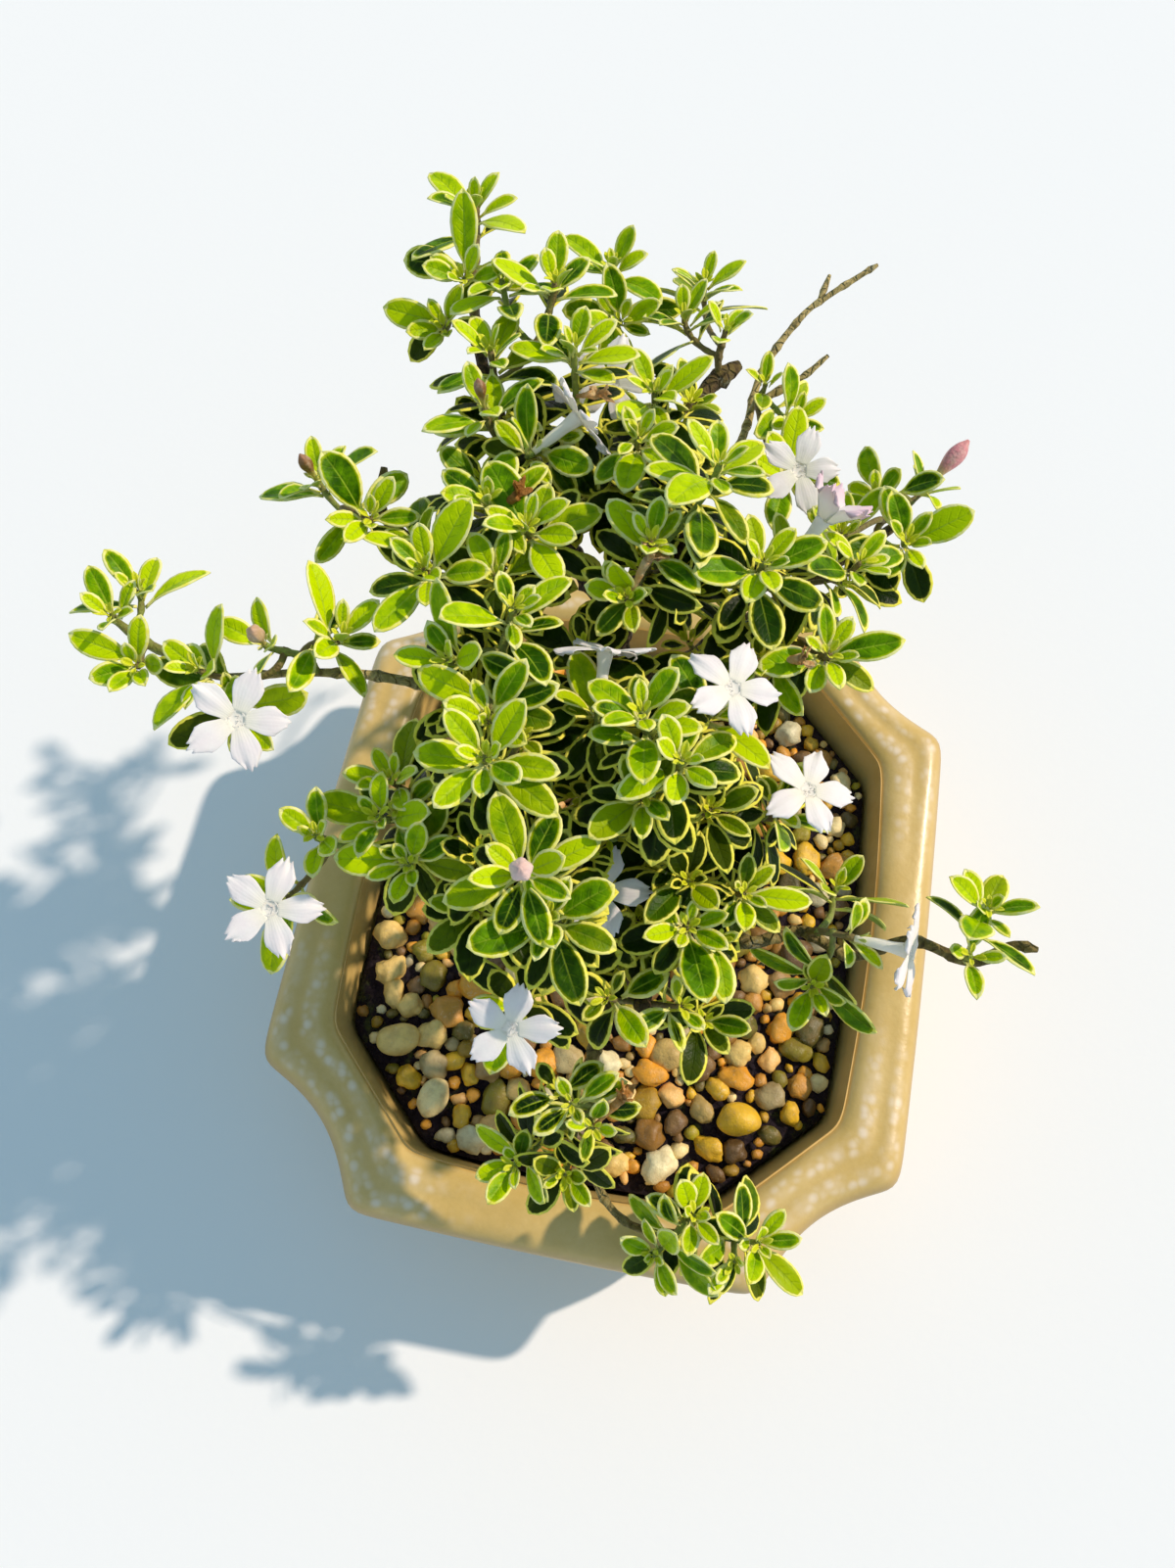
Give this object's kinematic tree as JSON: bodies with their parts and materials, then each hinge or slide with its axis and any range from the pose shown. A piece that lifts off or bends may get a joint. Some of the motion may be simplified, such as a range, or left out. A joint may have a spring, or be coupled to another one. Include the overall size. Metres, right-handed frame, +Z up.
{
  "type": "potted bonsai tree",
  "caption": "Small flowering bonsai with variegated leaves, fine branching limbs and white five-lobed flowers, growing in a low glazed pot with cut-off hollow corners and short feet.",
  "frame": {"origin": "middle of the bounding box, on the surface that the pot's feet stand on", "axes": "+Z up, -Y the pot's front, where the cascading limb hangs over the rim, +X to its right; the pot's sides lie along X and Y"},
  "size_m": [0.1418, 0.1745, 0.1413],
  "materials": {
    "pot": "glossy khaki glaze with a paler speckle along the rim",
    "soil": "dark crumbly growing medium with fine gravel",
    "screen": "dark green moulded mesh",
    "wood": "rough dark brown bark, smoother and olive on young twigs",
    "leaf": "glossy green leaf with a creamy yellow margin",
    "petal": "thin matte white petal with a faint pink tint",
    "bud": "matte pinkish brown bud",
    "stone": "worn cream and amber pebble"
  },
  "bodies": {
    "root": {"apex_inner_shoot": "leaf", "apex_low_shoot": "leaf", "apex_right_shoot": "leaf", "apex_shoot": "leaf", "back_hidden_shoot": "leaf", "back_hollow_shoot": "leaf", "back_middle_shoot": "leaf", "back_right_shoot": "leaf", "back_shoot": "leaf", "bud_apex": "bud", "bud_front": "bud", "bud_left": "bud", "bud_left_upper": "bud", "bud_right_upper": "bud", "cascade_shoot": "leaf", "cascade_tip_shoot": "leaf", "centre_back_shoot": "leaf", "centre_right_shoot": "leaf", "centre_shoot": "leaf", "crown_shoot": "leaf", "drainage_screen_back": "screen", "drainage_screen_front": "screen", "flower_apex_side": "petal", "flower_back": "petal", "flower_back_right": "petal", "flower_centre": "petal", "flower_centre_side": "petal", "flower_front": "petal", "flower_front_hidden": "petal", "flower_half_closed": "petal", "flower_left": "petal", "flower_left_low": "petal", "flower_right": "petal", "flower_right_low": "petal", "front_hidden_shoot": "leaf", "front_low_shoot": "leaf", "front_right_shoot": "leaf", "front_shoot": "leaf", "left_back_shoot": "leaf", "left_crown_shoot": "leaf", "left_flower_shoot": "leaf", "left_front_shoot": "leaf", "left_inner_shoot": "leaf", "left_low_shoot": "leaf", "left_low_tip_shoot": "leaf", "left_middle_shoot": "leaf", "left_tip_shoot": "leaf", "left_under_shoot": "leaf", "left_upper_shoot": "leaf", "pot": "pot", "right_inner_shoot": "leaf", "right_low_shoot": "leaf", "right_middle_shoot": "leaf", "right_tip_shoot": "leaf", "right_upper_shoot": "leaf", "soil": "soil", "stone_1": "stone", "stone_2": "stone", "stone_3": "stone", "trunk_and_limbs": "wood"}
  },
  "joints": []
}
